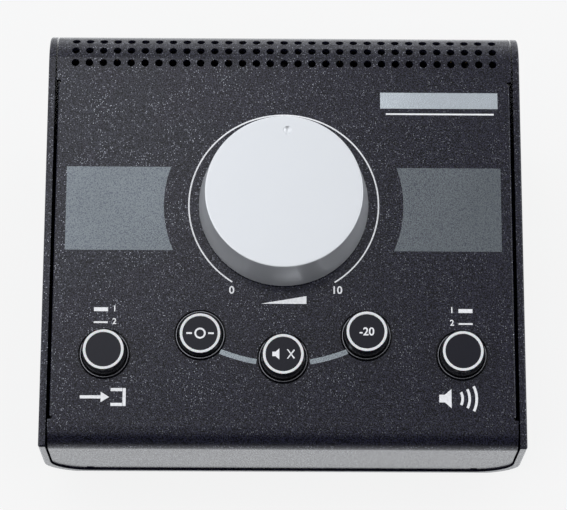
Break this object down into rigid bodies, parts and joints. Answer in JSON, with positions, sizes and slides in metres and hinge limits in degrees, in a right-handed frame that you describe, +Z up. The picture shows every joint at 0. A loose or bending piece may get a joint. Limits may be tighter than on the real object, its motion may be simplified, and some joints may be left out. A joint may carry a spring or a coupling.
{
  "type": "studio monitor controller",
  "caption": "Desktop monitor controller: sloped folded-steel box with one large volume knob, latching push buttons, vent rows and rear plug sockets.",
  "frame": {"origin": "on the resting plane under the feet, midway across the width and midway along the depth", "axes": "+X to the right, +Y to the rear with the sockets, +Z up; the panel slopes up to the rear"},
  "size_m": [0.138, 0.1266, 0.0733],
  "materials": {
    "black_paint": "satin black powder coat with a fine sparkle",
    "foot_rubber": "matt",
    "black_steel": "black zinc",
    "black_plastic": "moulded",
    "nickel": "bright nickel",
    "contact_brass": "plain",
    "board_green": "solder mask",
    "bright_steel": "zinc plated",
    "ribbon_grey": "flat cable",
    "satin_silver": "fine satin",
    "button_black": "semi gloss",
    "ring_white": "satin",
    "white_plastic": "moulded"
  },
  "bodies": {
    "chassis": {"top_shell": "black_paint", "base_tub": "black_paint", "rear_panel": "black_paint", "feet": "foot_rubber", "foot_screws": "black_steel", "base_screws": "black_steel", "lip_screws": "black_steel", "jack_housings": "black_plastic", "jack_bushings": "nickel", "jack_washers": "nickel", "jack_nuts": "nickel", "jack_contacts": "contact_brass", "mini_jack_housing": "black_plastic", "mini_jack_bushing": "nickel", "mini_jack_nut": "nickel", "jack_board": "board_green", "control_board": "board_green", "board_standoffs": "bright_steel", "board_screws": "bright_steel", "ribbon_cable": "ribbon_grey", "ribbon_headers": "black_plastic", "attenuator_resistors": "black_plastic", "pot_body": "bright_steel", "pot_bushing": "nickel", "pot_washer": "nickel", "pot_nut": "nickel", "switch_bodies": "black_plastic", "button_bezels": "button_black"},
    "knob": {"volume_knob": "satin_silver", "knob_bush": "contact_brass", "pot_shaft": "bright_steel"},
    "source_button": {"source_cap": "button_black", "source_ring": "ring_white", "source_plunger": "white_plastic"},
    "mono_button": {"mono_cap": "button_black", "mono_ring": "ring_white", "mono_plunger": "white_plastic"},
    "mute_button": {"mute_cap": "button_black", "mute_ring": "ring_white", "mute_plunger": "white_plastic"},
    "dim_button": {"dim_cap": "button_black", "dim_ring": "ring_white", "dim_plunger": "white_plastic"},
    "monitor_button": {"monitor_cap": "button_black", "monitor_ring": "ring_white", "monitor_plunger": "white_plastic"}
  },
  "joints": [
    {"name": "volume_turn", "type": "hinge", "parent": "chassis", "child": "knob", "pos_m": [0, 0.00563, 0.05439], "axis": [0, -0.2588, 0.9659], "range_deg": [-147, 153]},
    {"name": "source_press", "type": "slide", "parent": "chassis", "child": "source_button", "axis": [0, 0.2588, -0.9659], "range_m": [0, 0.0035], "stiffness_N_per_m": 600},
    {"name": "mono_press", "type": "slide", "parent": "chassis", "child": "mono_button", "axis": [0, 0.2588, -0.9659], "range_m": [-0.0029, 0.0006], "stiffness_N_per_m": 600},
    {"name": "mute_press", "type": "slide", "parent": "chassis", "child": "mute_button", "axis": [0, 0.2588, -0.9659], "range_m": [0, 0.0035], "stiffness_N_per_m": 600},
    {"name": "dim_press", "type": "slide", "parent": "chassis", "child": "dim_button", "axis": [0, 0.2588, -0.9659], "range_m": [0, 0.0035], "stiffness_N_per_m": 600},
    {"name": "monitor_press", "type": "slide", "parent": "chassis", "child": "monitor_button", "axis": [0, 0.2588, -0.9659], "range_m": [0, 0.0035], "stiffness_N_per_m": 600}
  ]
}
